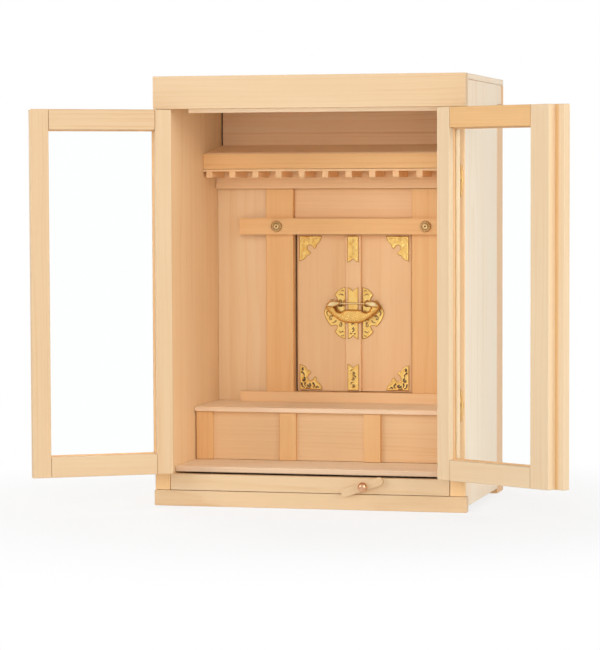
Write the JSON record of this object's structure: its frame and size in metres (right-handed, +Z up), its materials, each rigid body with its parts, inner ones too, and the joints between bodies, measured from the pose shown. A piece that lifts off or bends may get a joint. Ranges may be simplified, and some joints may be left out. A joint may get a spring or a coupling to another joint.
{
  "type": "kamidana box shrine with glass doors",
  "caption": "Softwood box shrine with glass doors, inner pillared front with brass-fitted doors, shelf and pull-out tray.",
  "frame": {"origin": "middle of the base rail's underside, under the front of the cabinet", "axes": "+X to the viewer's right along the front, +Y from the front into the cabinet, +Z up"},
  "size_m": [0.5089, 0.2874, 0.4105],
  "materials": {
    "softwood": "planed, unvarnished",
    "pale_wood": "planed, unvarnished",
    "warm_wood": "planed, unvarnished",
    "glass": "clear",
    "brass": "polished",
    "copper": "polished, coppery"
  },
  "bodies": {
    "cabinet": {"side_panel_left": "pale_wood", "side_panel_right": "pale_wood", "rear_post_left": "warm_wood", "rear_post_right": "warm_wood", "top_board": "pale_wood", "front_fascia": "softwood", "base_rail": "softwood", "bottom_board": "softwood", "floor_board": "softwood", "back_panel": "warm_wood", "upper_back_board": "warm_wood", "roof_board": "warm_wood", "eave_board": "softwood", "soffit_and_rafters": "softwood", "eave_beam": "softwood", "pillar_left": "softwood", "pillar_right": "softwood", "shrine_wall_left": "softwood", "shrine_wall_right": "softwood", "transom_panel": "softwood", "upper_beam": "softwood", "lower_beam": "softwood", "beam_boss_left": "brass", "beam_boss_right": "brass", "offering_shelf": "softwood", "shelf_riser": "softwood", "upper_hinge_left_frame_leaf": "brass", "lower_hinge_left_frame_leaf": "brass", "upper_hinge_right_frame_leaf": "brass", "lower_hinge_right_frame_leaf": "brass"},
    "outer_door_left": {"outer_door_left_hinge_stile": "softwood", "outer_door_left_meeting_stile": "softwood", "outer_door_left_top_rail": "softwood", "outer_door_left_bottom_rail": "softwood", "outer_door_left_glass": "glass", "upper_hinge_left_door_leaf": "brass", "lower_hinge_left_door_leaf": "brass"},
    "outer_door_right": {"outer_door_right_hinge_stile": "softwood", "outer_door_right_meeting_stile": "softwood", "outer_door_right_top_rail": "softwood", "outer_door_right_bottom_rail": "softwood", "outer_door_right_glass": "glass", "upper_hinge_right_door_leaf": "brass", "lower_hinge_right_door_leaf": "brass"},
    "tray": {"offering_tray": "softwood", "tray_knob": "copper"},
    "button": {"turn_button": "softwood"},
    "shrine_leaf_left": {"shrine_door_left": "softwood", "center_batten": "softwood", "upper_corner_left": "brass", "lower_corner_left": "brass", "lock_plate_left": "brass", "lock_plate_center": "brass", "batten_strip_upper": "brass", "batten_strip_lower": "brass", "shrimp_lock": "brass"},
    "shrine_leaf_right": {"shrine_door_right": "softwood", "upper_corner_right": "brass", "lower_corner_right": "brass", "lock_plate_right": "brass"}
  },
  "joints": [
    {"name": "outer_door_left_hinge", "type": "hinge", "parent": "cabinet", "child": "outer_door_left", "pos_m": [-0.1367, -0.0066, 0.2056], "axis": [0, 0, -1], "range_deg": [-149, 26]},
    {"name": "outer_door_right_hinge", "type": "hinge", "parent": "cabinet", "child": "outer_door_right", "pos_m": [0.1367, -0.0066, 0.2056], "axis": [0, 0, 1], "range_deg": [-149, 26]},
    {"name": "tray_slide", "type": "slide", "parent": "cabinet", "child": "tray", "axis": [0, -1, 0], "range_m": [0, 0.11]},
    {"name": "turn_button_pivot", "type": "hinge", "parent": "tray", "child": "button", "pos_m": [0.0545, -0.007, 0.0231], "axis": [0, -1, 0], "continuous": true},
    {"name": "shrine_door_left_pivot", "type": "hinge", "parent": "cabinet", "child": "shrine_leaf_left", "pos_m": [-0.052, 0.17, 0.178], "axis": [0, 0, -1], "range_deg": [0, 90]},
    {"name": "shrine_door_right_pivot", "type": "hinge", "parent": "cabinet", "child": "shrine_leaf_right", "pos_m": [0.0618, 0.17, 0.178], "axis": [0, 0, 1], "range_deg": [0, 90]}
  ],
  "couplings": [
    {"joint": "shrine_door_right_pivot", "follows": "shrine_door_left_pivot", "ratio": 1}
  ]
}
